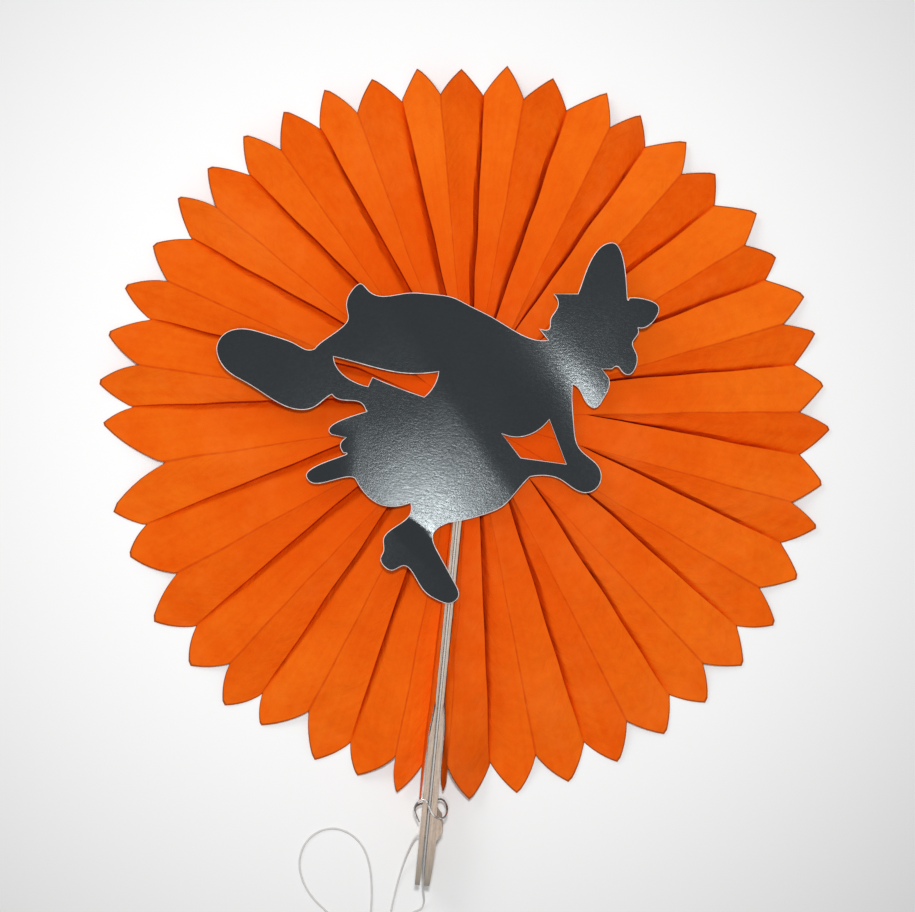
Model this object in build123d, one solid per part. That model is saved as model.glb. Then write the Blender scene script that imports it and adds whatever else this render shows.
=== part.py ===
"""A paper fan rosette, in millimetres, as it lies on a table.

One pleated orange sheet is opened all the way round, so that its two stiff
guards meet side by side and point along -Y. The end of every panel is cut to a
pointed petal. A split ring goes through both guards just outside the rim, a
string lies between them and ends in a loose loop, and a flying figure cut from
card lies on top of the middle.

The origin is on the rosette's axis, on the plane that it rests on. +Z is up.
Turns are in degrees, counted from the guards, anticlockwise seen from above.
"""

import os
from math import atan2, cos, degrees, pi, radians, sin, sqrt, tan

from build123d import *

# Pleated sheet
paper_thickness = 0.2
pleat_width = 20.0
notch_radius = 142.0
petal_length = 10.5
tip_radius = notch_radius + petal_length
petal_bulge_share = 0.05
petal_side_shares = [0.33, 0.67, 1.0]
least_rim_height = 3.0
glue_gap = 0.05

# Inner ends of the folds, hidden under the figure
inner_radius = 6.0
mountain_pivot_y = 5.0
valley_pivot_y = 14.5
crease_reach = 1.5

# Every panel bulges softly between its folds: the highest place of its bend, in
# shares of the way along the folds, of the way from mountain to valley, and of the
# drop between them
bend_reach_share = 0.5
bend_across_share = 0.68
bend_drop_share = 0.16

# How far each panel opens at the rim, from the guard on the +X side round to
# the one on the -X side. The first and last panels lie against the guards.
first_fold_angle = 1.4
panel_opening_angles = [
    1.0, 7.3, 7.9, 8.6, 8.2, 8.6, 7.9, 8.6, 7.7, 8.5, 7.2, 8.3,
    7.4, 8.1, 7.2, 8.2, 7.0, 8.5, 7.8, 7.8, 6.9, 8.0, 7.6, 7.0,
    7.3, 6.7, 7.9, 7.0, 7.6, 6.9, 7.9, 6.9, 8.3, 7.3, 8.0, 7.3,
    10.2, 10.2, 10.0, 9.5, 8.6, 7.7, 8.5, 8.8, 8.1, 3.4, 1.7,
]

# The petals are cut by hand: how far each tip reaches, as a share of the tip
# radius, and how far some tips turn from the middle of their panel.
tip_reach_shares = [
    0.985, 1.010, 1.010, 1.010, 1.005, 1.000, 1.000, 1.000, 1.005, 1.000, 1.000, 0.990,
    1.000, 0.990, 0.995, 1.000, 0.975, 0.995, 0.980, 0.995, 0.985, 1.000, 0.990, 1.000,
    0.985, 0.995, 0.995, 1.010, 1.005, 1.010, 1.010, 1.015, 1.000, 1.020, 1.020, 1.020,
    1.000, 1.000, 0.990, 1.010, 1.000, 1.010, 0.990, 1.000, 0.995, 1.005, 1.005,
]
tip_angles = {
    11: 0.8, 13: 0.8, 15: 0.9, 16: -0.8, 17: -0.9, 18: -1.0, 20: -1.1, 22: -1.1,
    32: -0.8, 37: -2.3, 38: 1.4, 39: -1.0, 43: -1.6, 45: -1.2,
}
deep_notch_shares = {37: 0.91, 39: 0.97, 43: 0.97}

# Guards: greyboard on edge, as high as the pleats are wide, one ply near the
# middle and built up further out
guard_height = pleat_width
guard_inner_y = 3.0
one_ply = 0.95
full_board = 2.1
slot_width = 1.1
slot_end_width = 1.6

# Holes through the flat of both guards. Every reach is a distance from the
# rosette's axis along -Y.
ring_hole_diameter = 4.5
ring_hole_clearance = 2.5
ring_hole_reach = tip_radius + ring_hole_clearance
ring_hole_height_share = 0.525
ring_hole_height = guard_height * ring_hole_height_share
string_hole_diameter = 3.0
hole_spacing = 13.5
string_hole_reach = ring_hole_reach + hole_spacing
string_hole_height_share = 0.55
string_hole_height = guard_height * string_hole_height_share
hole_overrun = 2.0
guard_tail_length = 19.0
guard_reach = string_hole_reach + guard_tail_length

# The torn ear on the outer side of the guard on the +X side, from where the board
# begins to flare out to where it begins to taper, and the plain and the one-ply
# length before the flare
flare_end_beyond_hole = 3.5
flare_length = 15.5
flare_width = 0.5
ear_rise_length = 2.5
ear_start_width = 2.7
ear_length = 4.3
ear_end_width = 3.6
ear_fall_length = 3.7
ear_foot_width = 1.3
ear_foot_length = 4.0
taper_end_width = 0.3
plain_board_length = 16.0
build_up_length = 13.0
flare_end_reach = ring_hole_reach + flare_end_beyond_hole
flare_start_reach = flare_end_reach - flare_length
full_board_reach = flare_start_reach - plain_board_length
one_ply_reach = full_board_reach - build_up_length
ear_start_reach = flare_end_reach + ear_rise_length
ear_end_reach = ear_start_reach + ear_length
ear_foot_reach = ear_end_reach + ear_fall_length
taper_start_reach = ear_foot_reach + ear_foot_length

# Split ring: sprung open by the boards, so that its wire crosses them askew.
# Its route is in shares of its width from the ring's hole, and of the rise from
# the hole to the wire's place on the guards' top edges.
ring_wire = 0.9
ring_width = 13.5
ring_clearance = 0.05
ring_route_shares = [
    (-0.27, -0.60, 0.30), (-0.39, -0.38, 0.38), (-0.46, -0.13, 0.68), (-0.35, 0.13, 1.00),
    (-0.15, 0.24, 1.00), (0.00, -0.03, 1.00), (0.13, -0.27, 1.00), (0.39, -0.35, 1.00),
    (0.56, -0.24, 0.80), (0.55, -0.03, 0.33), (0.39, 0.15, 0.06), (0.21, 0.10, 0.00),
    (-0.22, -0.06, 0.00), (-0.38, -0.11, 0.12), (-0.46, -0.20, 0.28),
]

# Figure card
card_thickness = 0.4
card_width = 180.3
card_height = 147.0
card_left = -94.6
card_bottom = -81.0
card_angle = 5.6

# The figure's outline, in stretches between its corners. Every point is a
# share of the card's width and a share of its height.
figure_shares = [
    # Broom brush and the cloak's end
    [(0.222, 0.708), (0.207, 0.705), (0.181, 0.720), (0.119, 0.747), (0.058, 0.764),
     (0.017, 0.749), (0.000, 0.713), (0.004, 0.682), (0.021, 0.650), (0.072, 0.610),
     (0.130, 0.564), (0.173, 0.541), (0.197, 0.538), (0.220, 0.545), (0.244, 0.567),
     (0.261, 0.581)],
    # Heel
    [(0.261, 0.581), (0.294, 0.564), (0.322, 0.560), (0.338, 0.535)],
    # Torn hem of the skirt
    [(0.338, 0.535), (0.277, 0.507), (0.254, 0.478), (0.260, 0.469)],
    [(0.260, 0.469), (0.293, 0.461)],
    [(0.293, 0.461), (0.280, 0.443), (0.287, 0.418)],
    [(0.287, 0.418), (0.211, 0.372), (0.202, 0.355), (0.207, 0.342), (0.245, 0.336),
     (0.315, 0.344)],
    [(0.315, 0.344), (0.381, 0.271), (0.439, 0.279)],
    # Boot
    [(0.439, 0.279), (0.436, 0.245), (0.378, 0.177), (0.378, 0.145), (0.372, 0.128),
     (0.381, 0.103), (0.398, 0.093), (0.421, 0.105), (0.465, 0.043), (0.505, 0.007),
     (0.528, 0.000), (0.548, 0.018), (0.540, 0.057), (0.502, 0.142), (0.491, 0.193),
     (0.510, 0.216), (0.558, 0.231), (0.601, 0.245), (0.649, 0.271), (0.673, 0.301),
     (0.710, 0.352)],
    # Broom stick, its knob and the arm
    [(0.710, 0.352), (0.728, 0.355), (0.776, 0.346), (0.807, 0.320), (0.837, 0.307),
     (0.858, 0.316), (0.872, 0.346), (0.868, 0.376), (0.822, 0.432), (0.810, 0.495),
     (0.806, 0.577), (0.807, 0.609)],
    # Loose end of the scarf
    [(0.807, 0.609), (0.821, 0.596), (0.841, 0.553), (0.856, 0.543), (0.876, 0.568),
     (0.890, 0.607), (0.888, 0.628)],
    [(0.888, 0.628), (0.873, 0.651)],
    # Chin, mouth and nose
    [(0.873, 0.651), (0.896, 0.651)],
    [(0.896, 0.651), (0.909, 0.657), (0.919, 0.642), (0.934, 0.635),
     (0.948, 0.653), (0.950, 0.695), (0.942, 0.724), (0.953, 0.745), (0.954, 0.765)],
    # Hat, from the front of its brim to the back
    [(0.954, 0.765), (0.995, 0.794), (1.000, 0.823), (0.980, 0.841), (0.933, 0.848)],
    [(0.933, 0.848), (0.913, 0.982), (0.899, 1.000), (0.882, 0.998), (0.853, 0.965),
     (0.830, 0.901), (0.818, 0.860)],
    [(0.818, 0.860), (0.763, 0.860)],
    # Hair and collar
    [(0.763, 0.860), (0.767, 0.812), (0.756, 0.788), (0.755, 0.769), (0.731, 0.764)],
    [(0.731, 0.764), (0.740, 0.749), (0.752, 0.732)],
    # Back of the cloak
    [(0.752, 0.732), (0.720, 0.734), (0.680, 0.755), (0.622, 0.798), (0.564, 0.834),
     (0.540, 0.849), (0.489, 0.860), (0.431, 0.863), (0.361, 0.857), (0.343, 0.871),
     (0.327, 0.889), (0.308, 0.873), (0.294, 0.823), (0.297, 0.789), (0.282, 0.766),
     (0.260, 0.746), (0.222, 0.708)],
]
window_shares = [
    # Between the cloak and the skirt
    [
        [(0.265, 0.686), (0.353, 0.657), (0.431, 0.639), (0.470, 0.639), (0.503, 0.644)],
        [(0.503, 0.644), (0.493, 0.607), (0.470, 0.574)],
        [(0.470, 0.574), (0.411, 0.600), (0.353, 0.629)],
        [(0.353, 0.629), (0.343, 0.603)],
        [(0.343, 0.603), (0.294, 0.629), (0.269, 0.665), (0.265, 0.686)],
    ],
    # Between the skirt and the arm
    [
        [(0.646, 0.472), (0.692, 0.463), (0.722, 0.476), (0.754, 0.511)],
        [(0.754, 0.511), (0.792, 0.387)],
        [(0.792, 0.387), (0.689, 0.405)],
        [(0.689, 0.405), (0.646, 0.472)],
    ],
]

# Number of flats round the ring's wire and the string
section_sides = 8

# Hanging string, from its held end between the guards, out past their ends,
# round the loose loop on the table and back up into the hole of one guard
string_diameter = 0.9
string_route = [
    (0.0, -24.0, 19.0), (0.0, -100.0, 18.7), (0.02, -166.0, 17.4), (0.0, -179.5, 14.6),
    (0.3, -189.5, 9.8), (1.2, -194.8, 5.0), (1.8, -198.4, 1.5), (1.0, -201.8, 0.5),
    (-2.2, -203.2, 0.5), (-5.6, -206.0, 0.5), (-7.6, -211.0, 0.5), (-11.0, -216.4, 0.5),
    (-17.5, -219.4, 0.5), (-25.5, -218.4, 0.5), (-32.0, -213.2, 0.5), (-38.4, -206.6, 0.5),
    (-44.5, -202.2, 0.5), (-49.4, -196.0, 0.5), (-52.2, -188.4, 0.5), (-51.2, -180.2, 0.5),
    (-46.4, -174.0, 0.5), (-39.2, -171.2, 0.5), (-31.6, -173.0, 0.5), (-25.6, -178.2, 0.5),
    (-22.2, -186.0, 0.5), (-20.6, -195.0, 0.5), (-20.0, -204.0, 0.5), (-20.1, -210.4, 0.5),
    (-17.7, -212.8, 0.5), (-14.3, -212.8, 0.5), (-11.9, -210.4, 0.5), (-11.8, -204.8, 0.5),
    (-11.0, -197.8, 0.5), (-9.9, -190.6, 0.6), (-8.3, -182.6, 2.4), (-6.6, -176.2, 6.0),
    (-5.2, -171.8, 9.4), (-3.6, -168.9, 11.0), (-0.3, -168.5, 11.0),
]
fillet_share = 0.45


def polar(radius, turn, z=0):
    """A point at a radius and a turn from the guards."""
    return Vector(radius * sin(radians(turn)), -radius * cos(radians(turn)), z)


def fold_turns():
    """The turn of every fold at the rim, with the sheet's two free edges."""
    turns = [first_fold_angle]
    for opening in panel_opening_angles:
        turns.append(turns[-1] + opening)
    return turns


def panel_height(opening):
    """How high a panel of full width stands when it opens by this much at the rim."""
    chord = 2 * notch_radius * sin(radians(opening) / 2)
    return sqrt(max(pleat_width**2 - chord**2, 0))


def rim_height(number):
    """A fold's height at the rim: valleys lie on the table and mountains stand up."""
    if number == len(panel_opening_angles):
        return pleat_width - paper_thickness
    if number % 2 == 0:
        return paper_thickness / 2
    before = panel_height(panel_opening_angles[number - 1])
    after = panel_height(panel_opening_angles[number])
    return max((before + after) / 2, least_rim_height)


def fold_height(number, radius):
    """A fold's height at a radius: it runs straight from its inner end to the rim."""
    start = crease_reach if number % 2 == 0 else pleat_width - crease_reach
    share = (radius - inner_radius) / (notch_radius - inner_radius)
    return start + (rim_height(number) - start) * share


def fold_lines():
    """The inner end and the notch of every fold, in the middle of the paper."""
    pivot_x = slot_width / 2 + one_ply + glue_gap + paper_thickness
    lines = []
    for number, turn in enumerate(fold_turns()):
        pivot_y = valley_pivot_y if number % 2 == 0 else mountain_pivot_y
        pivot = Vector(pivot_x * cos(radians(turn) / 2), pivot_y, 0)
        inner = pivot + polar(inner_radius, turn, fold_height(number, inner_radius))
        rim = polar(notch_radius, turn, rim_height(number))
        notch = inner + (rim - inner) * deep_notch_shares.get(number, 1)
        lines.append((inner, notch))
    return lines


def panel_normal(line, other, end):
    """The upward normal of the panel between two folds, at one end of them."""
    along = (line[1] - line[0]) + (other[1] - other[0])
    return along.cross(other[end] - line[end]).normalized()


def crease_offset(lines, number, end):
    """From a fold's middle to the paper's upper surface, where its panels are mitred."""
    normals = []
    if number > 0:
        normals.append(panel_normal(lines[number - 1], lines[number], end))
    if number < len(lines) - 1:
        normals.append(panel_normal(lines[number], lines[number + 1], end))
    if len(normals) == 1:
        return normals[0] * (paper_thickness / 2)
    total = normals[0] + normals[1]
    sharpest = paper_thickness / crease_reach
    return total.normalized() * (paper_thickness / max(total.length, sharpest))


def bend_point(mountain, valley):
    """The highest place of a panel's soft bend, in the middle of the paper."""
    top = mountain[0] + (mountain[1] - mountain[0]) * bend_reach_share
    low = valley[0] + (valley[1] - valley[0]) * bend_reach_share
    point = top + (low - top) * bend_across_share
    return Vector(point.X, point.Y, top.Z + (low.Z - top.Z) * bend_drop_share)


def on_panel(number, place):
    """The point of a panel above or below a place in its cut end."""
    start = fold_turns()[number]
    turn = degrees(atan2(place.X, -place.Y)) % degrees(2 * pi)
    share = min(max((turn - start) / panel_opening_angles[number], 0), 1)
    radius = Vector(place.X, place.Y, 0).length
    low = fold_height(number, radius)
    return Vector(place.X, place.Y, low + (fold_height(number + 1, radius) - low) * share)


def petal_points(number, first, last):
    """A panel's cut end between its two notches: one bulged side, the tip, the other side."""
    turn = fold_turns()[number] + panel_opening_angles[number] / 2 + tip_angles.get(number + 1, 0)
    tip = polar(tip_radius * tip_reach_shares[number], turn)
    points = []
    for start, end in ((first, tip), (tip, last)):
        chord = Vector(end.X - start.X, end.Y - start.Y, 0)
        outward = chord.cross(Vector(0, 0, 1)) * petal_bulge_share
        for share in petal_side_shares:
            place = start + chord * share + outward * (share * (1 - share) / (1 / 2) ** 2)
            points.append(on_panel(number, place))
    return points[:-1]


def make_facet(*corners):
    """A flat facet between three points."""
    return Face(Wire.make_polygon(corners))


def make_strip(edge, other):
    """The narrow strip between two straight edges, each given by its end points."""
    return [make_facet(edge[0], edge[1], other[1]), make_facet(edge[0], other[1], other[0])]


def make_panel_side(corners, bend):
    """One side of a panel: the facets from its corners up to its bend."""
    facets = []
    for corner, following in zip(corners, corners[1:] + corners[:1]):
        facets.append(make_facet(corner, following, bend))
    return facets


def make_pleats():
    """The pleated sheet, with a soft bend and a pointed petal on every panel."""
    lines = fold_lines()
    offsets = []
    for number in range(len(lines)):
        offsets.append((crease_offset(lines, number, 0), crease_offset(lines, number, 1)))
    faces = []
    for number in (0, len(lines) - 1):
        ends = []
        for point, offset in zip(lines[number], offsets[number]):
            ends.append((point - offset, point + offset))
        faces += make_strip(*ends)
    for number, (line, beside) in enumerate(zip(lines, lines[1:])):
        mountain, valley = (beside, line) if number % 2 == 0 else (line, beside)
        normal = (panel_normal(line, beside, 0) + panel_normal(line, beside, 1)).normalized()
        offset = normal * (paper_thickness / 2)
        petal = petal_points(number, line[1], beside[1])
        middle = [line[0], line[1], *petal, beside[1], beside[0]]
        shifts = [*offsets[number], *([offset] * len(petal)), *reversed(offsets[number + 1])]
        upper = [point + shift for point, shift in zip(middle, shifts)]
        lower = [point - shift for point, shift in zip(middle, shifts)]
        bend = bend_point(mountain, valley)
        faces += make_panel_side(upper, bend + offset)
        faces += make_panel_side(lower, bend - offset)
        cut_ends = list(zip(lower, upper))
        for end, following in zip(cut_ends[1:-1], cut_ends[2:-1]):
            faces += make_strip(end, following)
        faces += make_strip(cut_ends[-1], cut_ends[0])
    return Solid(Shell(faces))


def make_paper():
    """The pleated sheet, with its lowest edge on the table."""
    paper = make_pleats()
    return Pos(0, 0, -paper.bounding_box().min.Z) * paper


def board_outer():
    """How far a guard's outer side lies from the middle plane, at full thickness."""
    return slot_end_width / 2 + full_board


def guard_plan(side, ear):
    """A guard's outline seen from above, on the +X side for side 1, with its ear if it has one."""
    inner = [(slot_width / 2, guard_inner_y), (slot_width / 2, -one_ply_reach),
             (slot_end_width / 2, -guard_reach)]
    outer = [(board_outer(), -full_board_reach), (slot_width / 2 + one_ply, -one_ply_reach),
             (slot_width / 2 + one_ply, guard_inner_y)]
    if ear:
        end = [(board_outer() + taper_end_width, -guard_reach),
               (board_outer() + ear_foot_width, -taper_start_reach),
               (board_outer() + ear_foot_width, -ear_foot_reach),
               (board_outer() + ear_end_width, -ear_end_reach),
               (board_outer() + ear_start_width, -ear_start_reach),
               (board_outer() + flare_width, -flare_end_reach),
               (board_outer(), -flare_start_reach)]
    else:
        end = [(board_outer(), -guard_reach)]
    points = [(side * x, y) for x, y in inner + end + outer]
    return make_face(Polyline(*points, close=True))


def cross_hole(diameter, reach, height):
    """A cutter for a round hole through both guards."""
    across = 2 * (board_outer() + ear_end_width + hole_overrun)
    return Pos(0, -reach, height) * Rot(0, 90, 0) * Cylinder(diameter / 2, across)


def make_guard(side, ear):
    """One guard: its plan standing up on edge, with the ring's and the string's holes."""
    plan = guard_plan(side, ear)
    board = extrude(plan, guard_height, dir=(0, 0, 1))
    board -= cross_hole(ring_hole_diameter, ring_hole_reach, ring_hole_height)
    board -= cross_hole(string_hole_diameter, string_hole_reach, string_hole_height)
    return board


def fillet_radii(points):
    """The largest even radius at each corner of a route, from its two runs and its turn."""
    radii = []
    for before, corner, after in zip(points, points[1:], points[2:]):
        first = corner - before
        second = after - corner
        turn = radians(first.get_angle(second))
        radii.append(fillet_share * min(first.length, second.length) / tan(turn / 2))
    return radii


def make_tube(points, diameter):
    """A round tube along straight runs that are joined by tangent arcs."""
    points = [Vector(*point) for point in points]
    radii = fillet_radii(points)
    path = FilletPolyline(*points, radius=radii)
    start = Plane(path @ 0, z_dir=path % 0)
    tube = sweep(start * RegularPolygon(diameter / 2, section_sides), path)
    return tube, path, radii


def ring_route():
    """The ring's wire: over the top edges of both guards, then back through their hole."""
    rise = guard_height + ring_wire / 2 + ring_clearance - ring_hole_height
    points = []
    for x_share, y_share, rise_share in ring_route_shares:
        points.append((x_share * ring_width, y_share * ring_width - ring_hole_reach,
                       ring_hole_height + rise_share * rise))
    return points


def figure_edges(stretches):
    """Curves through the points of each stretch of the figure's outline."""
    edges = []
    for stretch in stretches:
        points = [(x * card_width, y * card_height) for x, y in stretch]
        edges.append(Spline(*points) if len(points) > 2 else Line(*points))
    return edges


def make_card():
    """The flying figure, cut from card, with its two windows."""
    outline = Wire(figure_edges(figure_shares))
    windows = [Wire(figure_edges(window)) for window in window_shares]
    plate = extrude(Face(outline, windows), card_thickness, dir=(0, 0, 1))
    return Pos(card_left, card_bottom, guard_height) * Rot(0, 0, card_angle) * plate


def main():
    """Build every piece and write it to its own file."""
    ring, _, _ = make_tube(ring_route(), ring_wire)
    string, path, radii = make_tube(string_route, string_diameter)
    print("string radii", [round(radius, 1) for radius in radii])
    print("string length", round(path.length, 1), "volume share",
          round(string.volume / (path.length * RegularPolygon(string_diameter / 2, section_sides).area), 4))
    parts = {
        "pleated_paper": make_paper(),
        "guard_left": make_guard(-1, ear=False),
        "guard_right": make_guard(1, ear=True),
        "split_ring": ring,
        "figure_card": make_card(),
        "hanging_string": string,
    }
    os.makedirs("parts", exist_ok=True)
    for name, shape in parts.items():
        export_step(shape, f"parts/{name}.step")


if __name__ == "__main__":
    main()
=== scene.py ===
"""A paper fan rosette that lies on a pale table, seen from straight above.

One pleated orange sheet with petal-cut panels, two greyboard guards with a split
ring, a twisted string with a loose loop, and a flying figure cut from black card.
Lengths are in metres. The origin is on the rosette's axis, on the table, +Z is up
and the guards point along -Y. Turns are in degrees, anticlockwise from the guards.
"""

import logging
import math
from contextlib import contextmanager
from dataclasses import dataclass, field
from enum import Enum
from typing import Any, Callable, Iterator, Sequence

import bpy
from mathutils import Matrix, Vector, noise


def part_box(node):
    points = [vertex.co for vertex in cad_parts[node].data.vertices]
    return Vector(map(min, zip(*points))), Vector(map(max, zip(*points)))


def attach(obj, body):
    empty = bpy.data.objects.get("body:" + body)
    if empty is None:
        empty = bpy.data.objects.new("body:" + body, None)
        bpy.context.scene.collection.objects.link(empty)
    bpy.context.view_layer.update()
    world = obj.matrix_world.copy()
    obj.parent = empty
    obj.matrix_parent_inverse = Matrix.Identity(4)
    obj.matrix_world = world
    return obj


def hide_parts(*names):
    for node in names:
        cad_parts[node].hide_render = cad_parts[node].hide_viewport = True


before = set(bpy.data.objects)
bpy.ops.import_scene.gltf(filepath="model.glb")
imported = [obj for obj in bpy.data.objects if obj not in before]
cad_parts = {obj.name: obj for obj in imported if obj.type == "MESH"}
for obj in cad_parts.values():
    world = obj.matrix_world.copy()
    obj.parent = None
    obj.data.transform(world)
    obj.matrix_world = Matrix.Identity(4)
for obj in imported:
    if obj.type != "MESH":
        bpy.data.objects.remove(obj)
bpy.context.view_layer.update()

logging.basicConfig(level=logging.INFO, format="%(levelname)s %(message)s")
LOG = logging.getLogger("rosette")

MM = 0.001
UP = Vector((0, 0, 1))
Place = Colour = tuple[float, float, float]
Piece = bpy.types.Object


class Coordinate(Enum):
    """Where a pattern takes its place from."""

    OBJECT = "Object"
    UV = "UV"


# Shader building


class Shade:
    """A socket of a shader tree that can be used in plain arithmetic."""

    def __init__(self, tree: "ShaderTree", socket: bpy.types.NodeSocket) -> None:
        """Wrap one output socket of a tree."""
        self.tree = tree
        self.socket = socket

    def __add__(self, other: "Shade | float") -> "Shade":
        """The sum."""
        return self.tree.maths("ADD", self, other)

    __radd__ = __add__

    def __sub__(self, other: "Shade | float") -> "Shade":
        """The difference."""
        return self.tree.maths("SUBTRACT", self, other)

    def __rsub__(self, other: float) -> "Shade":
        """A number less this value."""
        return self.tree.maths("SUBTRACT", other, self)

    def __mul__(self, other: "Shade | float") -> "Shade":
        """The product."""
        return self.tree.maths("MULTIPLY", self, other)

    __rmul__ = __mul__

    def above(self, limit: float, softness: float) -> "Shade":
        """A mask that rises from 0 to 1 about a limit, over a width of softness."""
        rise = self.tree.maths("DIVIDE", self - (limit - softness / 2), softness)
        return self.tree.maths("SMOOTH_MIN", self.tree.maths("MAXIMUM", rise, 0.0), 1.0, 0.1)


class ShaderTree:
    """A material under construction."""

    def __init__(self, name: str) -> None:
        """Start an empty material of this name.

        Args:
            name: the material's name.
        """
        self.material = bpy.data.materials.new(name)
        self.material.use_nodes = True
        self.nodes = self.material.node_tree.nodes
        self.links = self.material.node_tree.links
        self.nodes.clear()

    def node(self, kind: str, settings: dict[str, Any] | None = None,
             inputs: dict[str | int, Any] | None = None, output: str | int = 0) -> Shade:
        """Add any node.

        Args:
            kind: the node's type.
            settings: its own settings, such as an operation.
            inputs: values or shades for its sockets.
            output: the socket that is wanted.

        Returns:
            The wanted output.
        """
        made = self.nodes.new(kind)
        for name, value in (settings or {}).items():
            setattr(made, name, value)
        for name, value in (inputs or {}).items():
            if isinstance(value, Shade):
                self.links.new(value.socket, made.inputs[name])
            else:
                made.inputs[name].default_value = value
        return Shade(self, made.outputs[output])

    def maths(self, operation: str, *values: "Shade | float") -> Shade:
        """Add a Math node for these values."""
        return self.node("ShaderNodeMath", {"operation": operation}, dict(enumerate(values)))

    def place(self, coordinate: Coordinate = Coordinate.OBJECT, scale: Place = (1, 1, 1)) -> Shade:
        """The place of a pattern, stretched along each axis.

        Args:
            coordinate: what it is taken from.
            scale: how much finer it is along each axis.

        Returns:
            The place.
        """
        if coordinate is Coordinate.UV:
            start = self.node("ShaderNodeUVMap", {"uv_map": "Sheet"})
        else:
            start = self.node("ShaderNodeTexCoord", output="Object")
        return self.node("ShaderNodeMapping", None, {"Vector": start, "Scale": scale})

    def grain(self, place: Shade, scale: float, detail: float = 4,
              roughness: float = 0.55) -> Shade:
        """Noise from 0 to 1 at a place."""
        return self.node("ShaderNodeTexNoise", None, {"Vector": place, "Scale": scale,
                                                      "Detail": detail, "Roughness": roughness})

    def blend(self, mask: "Shade | float", first: Any, second: Any) -> Shade:
        """The first colour where the mask is 0 and the second where it is 1."""
        return self.node("ShaderNodeMix", {"data_type": "RGBA"}, {0: mask, 6: first, 7: second}, 2)

    def bump(self, height: Shade, strength: float, distance: float,
             normal: Shade | None = None) -> Shade:
        """Relief from a height between 0 and 1.

        Args:
            height: the height.
            strength: how much of it shows.
            distance: its size, in metres.
            normal: the relief below it.

        Returns:
            The relief's normal.
        """
        inputs = {"Height": height, "Strength": strength, "Distance": distance}
        if normal is not None:
            inputs["Normal"] = normal
        return self.node("ShaderNodeBump", None, inputs)

    def finish(self, inputs: dict[str, Any]) -> bpy.types.Material:
        """Close the material with a Principled surface that has these inputs.

        Args:
            inputs: values or shades for its sockets.

        Returns:
            The material.
        """
        surface = self.node("ShaderNodeBsdfPrincipled", None, inputs)
        end = self.nodes.new("ShaderNodeOutputMaterial")
        self.links.new(surface.socket, end.inputs["Surface"])
        return self.material


def rgba(colour: Colour, factor: float = 1.0) -> tuple[float, float, float, float]:
    """A colour made darker or lighter by a factor, with full opacity."""
    return (*(factor * share for share in colour), 1.0)


# Finishes


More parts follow.
